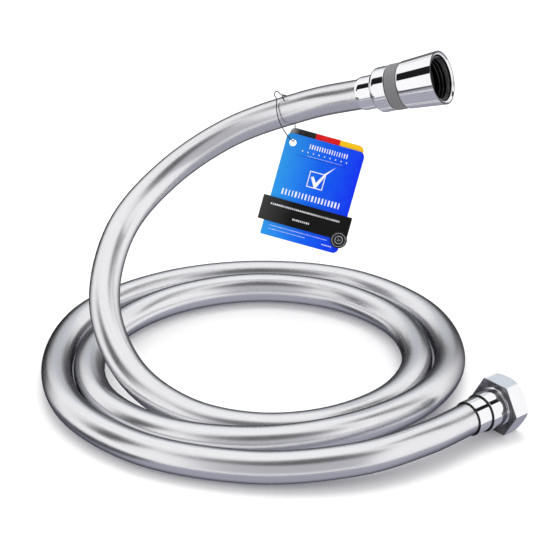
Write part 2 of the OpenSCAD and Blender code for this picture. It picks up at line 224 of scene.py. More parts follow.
def effect_group(name, wanted, given):
    """An empty shader node group with its number inputs and outputs, and what its inputs give inside."""
    group = bpy.data.node_groups.new(name, "ShaderNodeTree")
    for label in wanted:
        group.interface.new_socket(label, in_out="INPUT", socket_type="NodeSocketFloat")
    for label in given:
        group.interface.new_socket(label, in_out="OUTPUT", socket_type="NodeSocketFloat")
    return group, group.nodes.new("NodeGroupInput").outputs


def handled_surface_group():
    """Faint finger marks and fine grain, shared by the metal, rubber and plastic finishes."""
    group, sizes = effect_group("handled surface", ("Mark Size", "Grain Size"), ("Marks", "Grain"))
    coords = node(group, "ShaderNodeTexCoord").outputs["Object"]
    marks = noise(group, coords, sizes["Mark Size"], 3.0, {"Roughness": 0.6})
    grain = noise(group, coords, sizes["Grain Size"], 2.0)
    node(group, "NodeGroupOutput", {"Marks": spread(group, marks, 0.42, 0.72, 0.0, 1.0), "Grain": grain})
    return group


handled = handled_surface_group()


def handled_marks(tree, mark_size, grain_size):
    """The marks and the grain of the shared group, at this finish's own sizes."""
    made = node(tree, "ShaderNodeGroup", node_tree=handled)
    fill(tree, made, {"Mark Size": mark_size, "Grain Size": grain_size})
    return made.outputs["Marks"], made.outputs["Grain"]


def relief(tree, height, strength, depth=0.0001):
    """The normal of fine relief, from a height over the surface."""
    sockets = {"Strength": strength, "Distance": depth, "Height": height}
    return node(tree, "ShaderNodeBump", sockets).outputs[0]


def painted_rim_shade(tree, base, low, high, most, dark):
    """Painted shade at a metal's edges: its mirror colour is mixed toward a dark colour at grazing angles, as
    seen from the camera.
    """
    rim = node(tree, "ShaderNodeLayerWeight", {"Blend": 0.5})
    return mixed(tree, spread(tree, rim.outputs["Facing"], low, high, 0.0, most), base, dark)


def new_material(name):
    """A material, its node tree and its Principled shader."""
    material = bpy.data.materials.new(name)
    material.use_nodes = True
    tree = material.node_tree
    return material, tree, tree.nodes["Principled BSDF"]


def worn_finish(name, sizes, colour, worn, rough, bump=0.0, metallic=0.0, specular=0.5):
    """A finish that turns to its worn colour in the marks; roughness and relief follow the grain."""
    material, tree, shader = new_material(name)
    marks, grain = handled_marks(tree, *sizes)
    fill(tree, shader, {
        "Base Color": mixed(tree, marks, colour, worn), "Roughness": spread(tree, grain, 0.3, 0.7, *rough),
        "Metallic": metallic, "Specular IOR Level": specular,
    })
    if bump:
        fill(tree, shader, {"Normal": relief(tree, grain, bump)})
    return material


def silver_jacket():
    """Satin silver lacquer in a clear PVC skin: fine flakes and draw lines along the hose."""
    material, tree, shader = new_material("satin silver jacket")
    marks, grain = handled_marks(tree, 45.0, 4200.0)
    uv = node(tree, "ShaderNodeUVMap", uv_map="UVMap").outputs[0]
    drawn = node(tree, "ShaderNodeMapping", {"Vector": uv, "Scale": (46.0, 6.0, 1.0)})
    lines = noise(tree, drawn.outputs[0], 1.0, 3.0)
    tone = spread(tree, lines, 0.3, 0.7, 0.0, 1.0)
    base = mixed(tree, tone, (0.80, 0.80, 0.825, 1), (0.86, 0.86, 0.88, 1))
    base = mixed(tree, spread(tree, grain, 0.35, 0.65, 0.0, 0.6), base, (0.90, 0.90, 0.92, 1))
    fill(tree, shader, {
        # Painted shade: the hose's edges are mixed toward dark grey at grazing angles.
        "Base Color": painted_rim_shade(tree, base, 0.45, 0.85, 0.85, (0.12, 0.12, 0.13, 1)),
        "Roughness": spread(tree, marks, 0.0, 1.0, 0.25, 0.30),
        "Metallic": 1.0,
        "Specular Tint": (0.35, 0.35, 0.38, 1),
        "Normal": relief(tree, maths(tree, "ADD", lines, grain), 0.02),
    })
    return material


def woven_polyester():
    """White polyester yarn braided in two directions."""
    material, tree, shader = new_material("braided polyester")
    uv = node(tree, "ShaderNodeUVMap", uv_map="UVMap").outputs[0]
    yarns = node(tree, "ShaderNodeMapping", {"Vector": uv, "Scale": (12.0, 420.0, 1.0)})
    parts = node(tree, "ShaderNodeSeparateXYZ", {0: yarns.outputs[0]}).outputs
    bands = []
    for slope in (1.0, -1.0):
        across = maths(tree, "ADD", maths(tree, "MULTIPLY", parts[0], slope), parts[1])
        bands.append(maths(tree, "SINE", maths(tree, "MULTIPLY", across, 2 * math.pi)))
    weave = maths(tree, "MAXIMUM", *bands)
    share = spread(tree, weave, -0.5, 1.0, 0.0, 1.0)
    fill(tree, shader, {
        "Base Color": mixed(tree, share, (0.55, 0.55, 0.57, 1), (0.9, 0.9, 0.9, 1)),
        "Roughness": 0.75,
        "Normal": relief(tree, weave, 0.6, 0.0002),
    })
    return material


def finish_piece(made, material, node_name, body):
    """Gives a piece its material and ties it to the CAD node that it stands for."""
    made.data.materials.clear()
    made.data.materials.append(material)
    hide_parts(node_name)
    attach(made, body)
    return made


weave_out = hose_r - jacket_wall - layer_gap
tube_out = weave_out - weave_wall - layer_gap
silver, polyester = silver_jacket(), woven_polyester()
water_tube = worn_finish("water tube", (120, 2600), (0.5, 0.52, 0.55, 1), (0.6, 0.62, 0.65, 1), (0.35, 0.5))
for name, outer, wall, sides, finish, node_name, slot in (
    ("hose_skin", hose_r, jacket_wall, 48, silver, "hose_jacket", "jacket"),
    ("hose_weave", weave_out, weave_wall, 32, polyester, "hose_braid", "inner"),
    ("hose_tube", tube_out, tube_wall, 24, water_tube, "hose_liner", "inner"),
):
    layer = hollow_tube(name, hose_line, outer * MM, (outer - wall) * MM, sides)
    finish_piece(layer, finish, node_name, "hose")


# Turned parts of the cone end. Chrome-plated brass ferrule pressed on the hose,
# a rounded sleeve over it, a matte ring that is the swivel's bearing, and the
# long cone nut with its inside thread.
def placed_along(start, way):
    """The matrix that takes a part drawn along +Z, in millimetres, to its place on the hose's end."""
    around, rise = math.atan2(way.y, way.x), math.asin(way.z)
    turn = Matrix.Rotation(around, 4, "Z") @ Matrix.Rotation(math.pi / 2 - rise, 4, "Y")
    return Matrix.Translation(start * MM) @ turn @ Matrix.Scale(MM, 4)


def eased(outline, steps=4):
    """A closed outline of (radius, height, easing) corners, each rounded by its own easing.

    A long straight run gets a point close to each of its ends, which keeps the shading tight there.
    """
    points = []
    for i, (x, y, *easing) in enumerate(outline):
        here = Vector((x, y))
        before = Vector(outline[i - 1][:2]) - here
        after = Vector(outline[(i + 1) % len(outline)][:2]) - here
        ease = easing[0] if easing else 0.0
        if ease <= 0:
            points.append(here)
            continue
        cut = min(ease, before.length * 0.49, after.length * 0.49)
        a, b = here + before.normalized() * cut, here + after.normalized() * cut
        for j in range(steps + 1):
            t = j / steps
            points.append((1 - t) ** 2 * a + 2 * t * (1 - t) * here + t**2 * b)
    long_run, close_by = 0.6, 0.06
    edged = []
    for here, after in zip(points, points[1:] + points[:1]):
        edged.append(here)
        run = after - here
        if run.length > long_run:
            step = run * (close_by / run.length)
            edged += [here + step, after - step]
    return edged


def facing_out(made, smooth_angle=35):
    """Merges doubled points and turns every face of a closed mesh outward."""
    shape = bmesh.new()
    shape.from_mesh(made.data)
    bmesh.ops.remove_doubles(shape, verts=shape.verts, dist=1e-7)
    bmesh.ops.recalc_face_normals(shape, faces=shape.faces)
    shape.to_mesh(made.data)
    shape.free()
    smoothed(made.data, smooth_angle)
    return made


def turned(name, outline, where, segments=128):
    """A ring-shaped part turned from a closed outline about its own axis."""
    points = eased(outline)
    verts = []
    for k in range(segments):
        a = 2 * math.pi * k / segments
        verts += [where @ Vector((p.x * math.cos(a), p.x * math.sin(a), p.y)) for p in points]
    return facing_out(piece(name, verts, grid_faces(segments, len(points))))


def bright_chrome():
    """Polished chrome plate on brass: clear reflections, faint wiping marks."""
    material, tree, shader = new_material("polished chrome")
    marks, grain = handled_marks(tree, 140.0, 3200.0)
    base = mixed(tree, marks, (0.955, 0.955, 0.97, 1), (0.92, 0.92, 0.94, 1))
    fill(tree, shader, {
        # Painted shade: the chrome's edges are mixed toward near black at grazing angles.
        "Base Color": painted_rim_shade(tree, base, 0.80, 0.93, 0.9, (0.05, 0.05, 0.055, 1)),
        "Specular Tint": (0.75, 0.75, 0.77, 1),
        "Roughness": spread(tree, marks, 0.0, 1.0, 0.03, 0.07),
        "Metallic": 1.0,
        "Normal": relief(tree, grain, 0.01),
    })
    return material


def matte_grey():
    """Fine-eroded grey acetal, as moulded."""
    material, tree, shader = new_material("matte grey bearing plastic")
    marks, grain = handled_marks(tree, 90.0, 5200.0)
    base = mixed(tree, grain, (0.15, 0.15, 0.155, 1), (0.21, 0.21, 0.215, 1))
    fill(tree, shader, {
        "Base Color": mixed(tree, marks, base, (0.19, 0.19, 0.195, 1)),
        "Specular IOR Level": 0.25,
        "Roughness": spread(tree, grain, 0.3, 0.7, 0.42, 0.6),
        "Normal": relief(tree, grain, 0.25, 0.00008),
    })
    return material


def painted_shade_metal(name, tone):
    """Turned metal darkened as painted shade, for bores and faces that stand in shadow, of a given depth of
    tone.
    """
    dark, light = (tone, tone, tone * 1.04, 1), (tone * 1.6, tone * 1.6, tone * 1.66, 1)
    return worn_finish(name, (180, 3000), dark, light, (0.24, 0.36), 0.1, 1.0)


chrome = bright_chrome()
bearing_grey = matte_grey()
# Painted shade: a dark metal for the insides of the nuts' bores and their threads.
bore_painted_shade = painted_shade_metal("bore metal with painted shade", 0.05)
# Painted shade: a darker chrome for the hexagon nut's rear face.
rear_face_painted_shade = painted_shade_metal("rear face painted shade", 0.24)
brass = worn_finish(
    "turned brass", (150, 2400), (0.80, 0.62, 0.30, 1), (0.66, 0.49, 0.24, 1), (0.2, 0.36), 0.1, 1.0,
)
rubber = worn_finish(
    "black rubber", (160, 3000), (0.018, 0.018, 0.02, 1), (0.045, 0.045, 0.048, 1), (0.55, 0.8), 0.2,
)


fit = 0.05
face_gap = 0.15
cone_place = placed_along(cone_start, cone_way)
ferrule_r = hose_r + 0.8
ferrule_end = cone_grip + face_gap + 1.1
sleeve_lip_r, sleeve_r = 8.95, 10.4
sleeve_from = 7.9
sleeve_to = sleeve_from + 8.6
band_edge_r, bearing_r = 10.45, 10.65
ring_from, ring_to = sleeve_to + 0.4, sleeve_to + 6.2
nut_from, nut_to = ring_to + face_gap, ring_to + 18.5
nut_rear_r, nut_rim_r, rim_inner_r, chamfer_r = 10.9, 12.25, 11.6, 11.15
neck_r, journal_r, spigot_r, nose_r = 4.6, 6.0, 8.6, 5.5
web_r = nose_r + 0.2
spigot_end = ring_to + 3.4
flange_t = 1.4
flange_to = spigot_end + face_gap + flange_t
web_from = flange_to + 1.5 + 2 * face_gap
web_to = web_from + 1.5
washer_t = 1.8
seat_to = web_to + washer_t + face_gap
bore_r = 9.32
root_r = bore_r + 0.55
seat_r = 9.9
mouth_r = 10.6
waterway_r = 3.1
thread_pitch = 1.814
ridge_r, ridge_depth = 0.62, 0.35

cone_ferrule_shell = turned("cone_ferrule_shell", [
    (hose_r + fit + 0.2, 0, 0.1), (ferrule_r - 0.35, 0, 0.15), (ferrule_r, 1.4, 0.5),
    (ferrule_r, ferrule_end, 0.2), (neck_r + fit, ferrule_end), (neck_r + fit, cone_grip + face_gap),
    (hose_r + fit, cone_grip + face_gap), (hose_r + fit, 1.0, 0.3),
], cone_place)
finish_piece(cone_ferrule_shell, chrome, "cone_ferrule", "hose")
cone_sleeve_shell = turned("cone_sleeve_shell", [
    (ferrule_r + fit, sleeve_from), (ferrule_r + 0.45, sleeve_from, 0.15),
    (sleeve_lip_r, sleeve_from + 0.45, 0.4), (sleeve_r - 0.05, sleeve_from + 2.1, 1.5),
    (sleeve_r, sleeve_from + 3.2, 0.5), (sleeve_r, sleeve_to, 0.25), (journal_r + fit, sleeve_to),
    (journal_r + fit, ferrule_end + fit), (ferrule_r + fit, ferrule_end + fit),
], cone_place)
finish_piece(cone_sleeve_shell, chrome, "cone_sleeve", "hose")
bearing_band = turned("bearing_band", [
    (journal_r + fit, ring_from), (band_edge_r, ring_from, 0.1), (bearing_r, ring_from + 0.2, 0.15),
    (bearing_r, ring_to - 0.2, 0.15), (band_edge_r, ring_to, 0.1), (spigot_r, ring_to),
    (spigot_r, spigot_end, 0.3), (journal_r + fit, spigot_end),
], cone_place)
finish_piece(bearing_band, bearing_grey, "bearing_ring", "swivel")


def growing_tree(name, wanted):
    """A Geometry Nodes tree with its named inputs, and those inputs' sockets inside it."""
    tree = bpy.data.node_groups.new(name, "GeometryNodeTree")
    tree.interface.new_socket("Geometry", in_out="INPUT", socket_type="NodeSocketGeometry")
    for label, kind in wanted:
        tree.interface.new_socket(label, in_out="INPUT", socket_type=f"NodeSocket{kind}")
    tree.interface.new_socket("Geometry", in_out="OUTPUT", socket_type="NodeSocketGeometry")
    return tree, tree.nodes.new("NodeGroupInput").outputs


def dressed(tree, shape, finish):
    """Ends a tree: its instances are made real, take their finish and are put out."""
    real = node(tree, "GeometryNodeRealizeInstances", {0: shape.outputs[0]})
    made = node(tree, "GeometryNodeSetMaterial", {"Geometry": real.outputs[0], "Material": finish})
    node(tree, "NodeGroupOutput", {0: made.outputs[0]})
    return tree


def thread_tree():
    """An inside thread: a ridge wound round the bore, with its size and turns as inputs."""
    tree, wanted = growing_tree("wound thread", (
        ("Turns", "Float"), ("Bore Radius", "Float"), ("Length", "Float"), ("Ridge", "Float"),
        ("Finish", "Material"),
    ))
    wind = node(tree, "GeometryNodeCurveSpiral", {
        "Resolution": 64, "Rotations": wanted["Turns"], "Start Radius": wanted["Bore Radius"],
        "End Radius": wanted["Bore Radius"], "Height": wanted["Length"],
    })
    ridge = node(tree, "GeometryNodeCurvePrimitiveCircle", {"Resolution": 6, "Radius": wanted["Ridge"]})
    swept = node(tree, "GeometryNodeCurveToMesh", {
        "Curve": wind.outputs[0], "Profile Curve": ridge.outputs[0], "Fill Caps": True,
    })
    return dressed(tree, swept, wanted["Finish"])


wound_thread = thread_tree()


def grown(name, tree, values):
    """Runs a Geometry Nodes tree on an empty mesh and keeps what it makes as a plain mesh."""
    holder = linked(name + "_seed", bpy.data.meshes.new(name + "_seed"))
    run = holder.modifiers.new("grown", "NODES")
    run.node_group = tree
    sockets = {
        item.name: item.identifier for item in tree.interface.items_tree
        if item.item_type == "SOCKET" and item.in_out == "INPUT"
    }
    for key, value in values.items():
        run[sockets[key]] = value
    shape = bpy.data.meshes.new_from_object(holder.evaluated_get(bpy.context.evaluated_depsgraph_get()))
    holder.modifiers.remove(run)
    bpy.data.objects.remove(holder)
    return linked(name, shape)


def paint_shade(made, where, z_from, z_to, r_from, r_to, finish=bore_painted_shade):
    """Paints shade: gives a dark finish to a part's faces that lie between two heights and two radii."""
    back = where.inverted()
    if finish.name not in made.data.materials:
        made.data.materials.append(finish)
    slot = made.data.materials.find(finish.name)
    for face in made.data.polygons:
        spot = back @ face.center
        if z_from < spot.z < z_to and r_from < math.hypot(spot.x, spot.y) < r_to:
            face.material_index = slot


def inside_thread(name, where, z_from, z_to, body):
    """The thread's ridge in a nut's bore, from one height to the other."""
    length = z_to - z_from
    made = grown(name, wound_thread, {
        "Turns": length / thread_pitch, "Bore Radius": bore_r + ridge_depth, "Length": length,
        # The thread takes the bore's painted shade.
        "Ridge": ridge_r, "Finish": bore_painted_shade,
    })
    made.data.transform(where @ Matrix.Translation((0, 0, z_from)))
    made.data.polygons.foreach_set("use_smooth", [True] * len(made.data.polygons))
    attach(made, body)


cone_nut_shell = turned("cone_nut_shell", [
    (spigot_r + fit, nut_from), (nut_rear_r, nut_from, 0.9), (nut_rim_r, nut_to, 0.06),
    (rim_inner_r, nut_to), (chamfer_r, nut_to - 0.45), (mouth_r, nut_to - 0.6, 0.2),
    (mouth_r, nut_to - 1.7, 0.2), (root_r, nut_to - 2.3, 0.2), (root_r, seat_to),
    (seat_r, seat_to), (seat_r, web_to), (web_r, web_to, 0.2), (web_r, web_from),
    (spigot_r + fit, web_from),
], cone_place)
finish_piece(cone_nut_shell, chrome, "cone_nut", "swivel")
# Painted shade inside the cone nut's bore, and a painted dark line round the rim of its mouth.
paint_shade(cone_nut_shell, cone_place, web_from - 1, nut_to - 0.7, 0, mouth_r + 0.05)
paint_shade(cone_nut_shell, cone_place, nut_to - 0.08, nut_to + 0.1, rim_inner_r, nut_rim_r + 0.05)
inside_thread("cone_nut_thread", cone_place, seat_to + 0.4, nut_to - 1.4, "swivel")


def flat_ring(name, r_in, r_out, z_from, z_to, where, ease, segments=128):
    """A flat washer with eased edges."""
    corners = [(r_in, z_from, ease), (r_out, z_from, ease), (r_out, z_to, ease), (r_in, z_to, ease)]
    return turned(name, corners, where, segments)


washer_r = bore_r - 0.1
washer_from = web_to + fit
slip_r, slip_from, slip_t = 9.45, sleeve_to + 0.05, 0.3
washer = flat_ring("cone_washer_ring", web_r, washer_r, washer_from, washer_from + washer_t, cone_place, 0.3)
finish_piece(washer, rubber, "cone_washer", "swivel")
slip_ring = flat_ring("slip_ring", journal_r + fit, slip_r, slip_from, slip_from + slip_t, cone_place, 0.05)
finish_piece(slip_ring, bearing_grey, "slip_washer", "hose")

# The O-ring and the barbed tails sit inside; their CAD shapes are right, so
# they only take their finishes.
for name, finish in (("swivel_oring", rubber), ("cone_tail", brass), ("hex_tail", brass)):
    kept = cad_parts[name]
    kept.data.materials.clear()
    kept.data.materials.append(finish)


# Hexagon end. Two-step chrome ferrule pressed on the hose, and the hexagon nut that
# screws on the mixer, with turned grooves in its rear face and an inside thread.
hex_place = placed_along(hex_start, hex_way) @ Matrix.Rotation(math.radians(30), 4, "Z")
ring_r, grip_r = hose_r + 0.7, hose_r + 1.5
ring_len, grip_to = 7.5, 16.1
hex_nut_from, hex_nut_to = grip_to + face_gap, grip_to + 8.9
rear_wall = 1.8
hex_neck_r = 6.0
rear_grooves = (9.1, 9.9, 10.7)
groove_depth = 0.3
# Radius where the painted shade on the nut's rear face begins.
rear_shade_from_r = 8.0
flat_r = hex_af / 2
corner_r = flat_r / math.cos(math.pi / 6)
corner_ease, flat_trim, trim_slope = 0.12, 0.15, 0.85
hex_seat_to = hex_nut_from + rear_wall + face_gap + flange_t + fit + washer_t + face_gap

hex_ferrule_shell = turned("hex_ferrule_shell", [
    (hose_r + fit + 0.2, 0, 0.05), (ring_r, 0, 0.35), (ring_r, ring_len, 0.02),
    (grip_r, ring_len, 0.4), (grip_r, grip_to, 0.5), (neck_r + fit, grip_to),
    (neck_r + fit, hex_grip + face_gap), (hose_r + fit, hex_grip + face_gap),
    (hose_r + fit, 1.0, 0.3),
], hex_place)
finish_piece(hex_ferrule_shell, chrome, "hex_ferrule", "hose")


def hexagon_column(wide):
    """The nut's closed outline in one direction, where its outside reaches the given radius."""
    front = hex_nut_to - max(0.0, wide - (flat_r - flat_trim)) * trim_slope
    rear, inner = hex_nut_from + 0.1, hex_nut_from + rear_wall
    column = [(hex_neck_r + fit, hex_nut_from)]
    for groove in rear_grooves:
        for out, depth in ((0.0, 0.0), (0.05, groove_depth), (0.3, groove_depth), (0.35, 0.0)):
            column.append((groove + out, hex_nut_from + depth))
    column.append((wide - 0.1, hex_nut_from))
    column += [(wide, rear + (front - rear) * step / 4) for step in range(5)]
    column += [(flat_r - 2 * flat_trim, hex_nut_to), (mouth_r, hex_nut_to), (root_r, hex_nut_to - 1.0)]
    column += [(root_r, hex_seat_to), (seat_r, hex_seat_to), (seat_r, inner), (hex_neck_r + fit, inner)]
    return column


def hexagon_nut():
    """A six-sided nut: corners trimmed by a cone at its front, a grooved rear face and a round bore."""
    per_side = 16
    segments = 6 * per_side
    verts = []
    for k in range(segments):
        a = 2 * math.pi * (k / segments)
        off_flat = (k % per_side) / per_side * math.pi / 3 - math.pi / 6
        column = hexagon_column(min(flat_r / math.cos(off_flat), corner_r - corner_ease))
        verts += [hex_place @ Vector((r * math.cos(a), r * math.sin(a), z)) for r, z in column]
    return facing_out(piece("hex_nut_shell", verts, grid_faces(segments, len(column))), 20)


hex_nut_shell = finish_piece(hexagon_nut(), chrome, "hex_nut", "coupling")
# Painted shade in the hexagon nut's bore and on its rear face, and painted shadow lines at the ferrule's end
# and at its step.
paint_shade(hex_nut_shell, hex_place, hex_nut_from + 1, hex_nut_to - 0.3, 0, bore_r + 0.8)
rear_from, rear_to = hex_nut_from - 0.1, hex_nut_from + 0.35
paint_shade(hex_nut_shell, hex_place, rear_from, rear_to, rear_shade_from_r, corner_r, rear_face_painted_shade)
paint_shade(hex_ferrule_shell, hex_place, -0.1, 0.25, hose_r, ring_r + 0.1)
paint_shade(hex_ferrule_shell, hex_place, ring_len - 0.1, ring_len + 0.3, ring_r - 0.2, grip_r + 0.1)
inside_thread("hex_nut_thread", hex_place, hex_seat_to + 0.1, hex_nut_to - 0.9, "coupling")
washer_from, washer_to = hex_seat_to - face_gap - washer_t, hex_seat_to - face_gap
washer = flat_ring("hex_washer_ring", waterway_r + 1.4, washer_r, washer_from, washer_to, hex_place, 0.3)
finish_piece(washer, rubber, "hex_washer", "coupling")


# Wire loop. Thin dark coated steel wire, put through the card's hole, led round
# the hose and closed by hand with a small curl on top.
wire_r = 0.25
loop_r = hose_r + 0.75
tie_span, tie_share = 2, 0.3
tie_at = between(hose_route, tie_span, tie_share)
tie_way = between(hose_route, tie_span, tie_share - 0.05) - between(hose_route, tie_span, tie_share + 0.05)
tie_way.normalize()
wire_low = (-0.8, 175.2, 7.1)
wire_turns = [
    (4.6, 22, 1.2), (3.2, 20, 1.3), (1.9, 14, 2.2), (1, 10, 3.2), (0.1, 12, 3.5), (-0.6, 17, 2.7),
    (-0.3, 21, 1.6), (-0.2, 28, 0.8), (-0.4, 42, 0.6), (-0.6, 60, 1), (-0.8, 78, 1.5),
    (-0.9, 96, 1.8), (-0.9, 115, 2.2), (-0.8, 135, 3.2), (-0.7, 152, 4.8), (-0.6, 164, 6.1),
    (-0.6, 170.7, 6.9), wire_low, (-1, 179.6, 7.2), (-0.7, 184.6, 6.4), (0.1, 190.9, 4.6),
    (0.8, 202, 2.6), (1.3, 220, 1), (1.6, 245, 0.4), (1.6, 270, 0.2), (1.6, 295, 0.1),
    (1.5, 320, 0), (1.5, 341, 0), (1.8, 359, 0), (2.2, 374, 0.1), (2.8, 388, 0.3),
]


def round_hose(along, angle, out):
    """A point of the wire in the hose's own directions: along it, away and up, in millimetres."""
    a = math.radians(angle)
    return Vector((along, -(loop_r + out) * math.sin(a), (loop_r + out) * math.cos(a)))


tie_round = Matrix.Rotation(math.atan2(tie_way.y, tie_way.x), 4, "Z")
tie_place = Matrix.Translation(tie_at) @ tie_round @ Matrix.Rotation(-math.asin(tie_way.z), 4, "Y")
wire_point = tie_place @ round_hose(*wire_low)
wire_knots = [tie_place @ round_hose(*knot) for knot in wire_turns]
wire_knots = [2 * wire_knots[0] - wire_knots[1]] + wire_knots + [2 * wire_knots[-1] - wire_knots[-2]]
wire_line = [between(wire_knots, i, j / 5) * MM for i in range(1, len(wire_knots) - 2) for j in range(5)]
wire_line.append(wire_knots[-2] * MM)


def round_wire(name, line, r, sides=10):
    """A thin solid rod along a line, its ends rounded off, carried without twist."""
    side = Vector((0.2, 0.1, 1.0))
    rings = []
    for i, spot in enumerate(line):
        way = (line[min(i + 1, len(line) - 1)] - line[max(i - 1, 0)]).normalized()
        side = (side - side.dot(way) * way).normalized()
        rings.append((spot, way, side, r))
    first, last = rings[0], rings[-1]
    rings.insert(0, (first[0] - first[1] * 0.7 * r, first[1], first[2], 0.6 * r))
    rings.append((last[0] + last[1] * 0.7 * r, last[1], last[2], 0.6 * r))
    verts = []
    for spot, way, out, wide in rings:
        up = out.cross(way)
        for k in range(sides):
            a = 2 * math.pi * k / sides
            verts.append(spot + wide * (math.cos(a) * out + math.sin(a) * up))
    faces = grid_faces(len(rings), sides, closed=False)
    faces.append(list(range(sides)))
    faces.append([(len(rings) - 1) * sides + k for k in reversed(range(sides))])
    return facing_out(piece(name, verts, faces))


dark_wire = worn_finish(
    "dark enamelled wire", (700, 6000), (0.03, 0.03, 0.035, 1), (0.12, 0.12, 0.13, 1), (0.3, 0.45),
    metallic=0.5,
)
finish_piece(round_wire("tie_loop", wire_line, wire_r * MM), dark_wire, "tie_wire", "tie")


# Cards. Two coated cards punched together and cut with round corners: a blue one in
# front, and behind it a pale one whose top edge carries three plain stripes.
card_w, card_h, card_t = 38.0, 50.0, 0.5
card_gap = 0.1
backing_show = 2.7
hole_r, hole_left, hole_down, hang = 1.7, 3.6, 4.4, 0.7
round_r, square_r = 2.6, 0.5
tag_lean, tag_turn = math.radians(17.0), math.radians(-15.5)
tag_place = (
    Matrix.Translation(wire_point * MM)
    @ Matrix.Rotation(math.pi / 2 - tag_lean, 4, "X")
    @ Matrix.Rotation(tag_turn, 4, "Z")
    @ Matrix.Scale(MM, 4)
    @ Matrix.Translation((-hole_left + hang * math.sin(tag_turn), hole_down - hang * math.cos(tag_turn), 0))
)


def arc(cx, cy, r, a_from, a_to, steps):
    """Points on a circle's arc."""
    angles = [math.radians(a_from + (a_to - a_from) * i / steps) for i in range(steps + 1)]
    return [(cx + r * math.cos(a), cy + r * math.sin(a)) for a in angles]


def card_sheet(name, left, top, wide, high, z):
    """A flat card with three round corners, its punched hole and a printable UV, as one closed sheet."""
    edge = arc(left + round_r, top - round_r, round_r, 180, 90, 8)
    edge += arc(left + wide - round_r, top - round_r, round_r, 90, 0, 8)
    edge += arc(left + wide - round_r, top - high + round_r, round_r, 0, -90, 8)
    edge += arc(left + square_r, top - high + square_r, square_r, -90, -180, 4)
    shape = bmesh.new()
    edges = []
    for loop in (edge, arc(hole_left, -hole_down, hole_r, 0, 360 * 31 / 32, 31)):
        corners = [shape.verts.new((x, y, z + card_t)) for x, y in loop]
        edges += [shape.edges.new((corners[i - 1], corners[i])) for i in range(len(corners))]
    bmesh.ops.triangle_fill(shape, use_beauty=True, edges=edges)
    bmesh.ops.recalc_face_normals(shape, faces=shape.faces)
    for step in range(1, int(wide / 2)):
        whole = shape.verts[:] + shape.edges[:] + shape.faces[:]
        bmesh.ops.bisect_plane(shape, geom=whole, plane_co=(left + step * 2, 0, 0), plane_no=(1, 0, 0))
    shape.faces.ensure_lookup_table()
    if shape.faces[0].normal.z < 0:
        bmesh.ops.reverse_faces(shape, faces=shape.faces[:])
    front = shape.faces[:]
    made = bmesh.ops.extrude_face_region(shape, geom=front)
    lowered = [g for g in made["geom"] if isinstance(g, bmesh.types.BMVert)]
    bmesh.ops.translate(shape, verts=lowered, vec=(0, 0, -card_t))
    bmesh.ops.recalc_face_normals(shape, faces=shape.faces)
    layer = shape.loops.layers.uv.new("UVMap")
    for face in shape.faces:
        for corner in face.loops:
            x, y, _ = corner.vert.co
            corner[layer].uv = ((x - left) / wide, 1 + (y - top) / high)
    mesh = bpy.data.meshes.new(name)
    shape.to_mesh(mesh)
    shape.free()
    mesh.transform(tag_place)
    smoothed(mesh, 30)
    return linked(name, mesh)


def paper_fibre_group():
    """Paper's fibres and the slight mottle of its print, shared by the cards and the band."""
    group, sizes = effect_group("paper fibre", ("Fibre Size",), ("Fibre", "Mottle"))
    coords = node(group, "ShaderNodeTexCoord").outputs["Object"]
    fibre = noise(group, coords, sizes["Fibre Size"], 4.0, {"Distortion": 1.2})
    node(group, "NodeGroupOutput", {"Fibre": fibre, "Mottle": noise(group, coords, 220.0, 3.0)})
    return group


paper_fibre = paper_fibre_group()


def printed(name, build_colour, roughness):
    """A coated paper whose print comes from build_colour(tree, x, y, mottle)."""
    material, tree, shader = new_material(name)
    fibres = node(tree, "ShaderNodeGroup", node_tree=paper_fibre)
    fill(tree, fibres, {"Fibre Size": 2600.0})
    uv = node(tree, "ShaderNodeUVMap", uv_map="UVMap").outputs[0]
    x, y, _ = node(tree, "ShaderNodeSeparateXYZ", {0: uv}).outputs
    fibre = fibres.outputs["Fibre"]
    fill(tree, shader, {
        "Base Color": build_colour(tree, x, y, fibres.outputs["Mottle"]),
        "Specular IOR Level": 0.12,
        "Roughness": spread(tree, fibre, 0.3, 0.7, roughness - 0.05, roughness + 0.08),
        "Normal": relief(tree, fibre, 0.08),
    })
    return material


def blue_print(tree, x, y, mottle):
    """Light blue at the left that deepens to the right."""
    ramp = node(tree, "ShaderNodeValToRGB", {0: x})
    stops = ramp.color_ramp.elements
    stops[0].position, stops[0].color = 0.0, (0.024, 0.32, 0.80, 1)
    stops[1].position, stops[1].color = 1.0, (0.0, 0.018, 0.86, 1)
    middle = stops.new(0.5)
    middle.color = (0.0, 0.11, 0.86, 1)
    return mixed(tree, spread(tree, mottle, 0.3, 0.7, 0.0, 0.12), ramp.outputs[0], (0.01, 0.2, 0.9, 1))


def stripe_print(tree, x, y, mottle):
    """Black, red and yellow in thirds, fading to grey at the punched corner."""
    ramp = node(tree, "ShaderNodeValToRGB", {0: x})
    stops = ramp.color_ramp.elements
    stops[0].position, stops[0].color = 0.0, (0.42, 0.42, 0.42, 1)
    stops[1].position, stops[1].color = 0.12, (0.02, 0.02, 0.02, 1)
    for place, colour in (
        (0.34, (0.012, 0.012, 0.012, 1)), (0.345, (0.80, 0.0, 0.005, 1)), (0.67, (0.84, 0.0, 0.0, 1)),
        (0.675, (1.0, 0.58, 0.0, 1)), (1.0, (1.0, 0.56, 0.0, 1)),
    ):
        stops.new(place).color = colour
    shade = spread(tree, mottle, 0.3, 0.7, 0.0, 0.06)
    stripes = mixed(tree, shade, ramp.outputs[0], (0.3, 0.3, 0.3, 1))
    return mixed(tree, maths(tree, "LESS_THAN", y, 0.8), stripes, (0.8, 0.8, 0.8, 1))


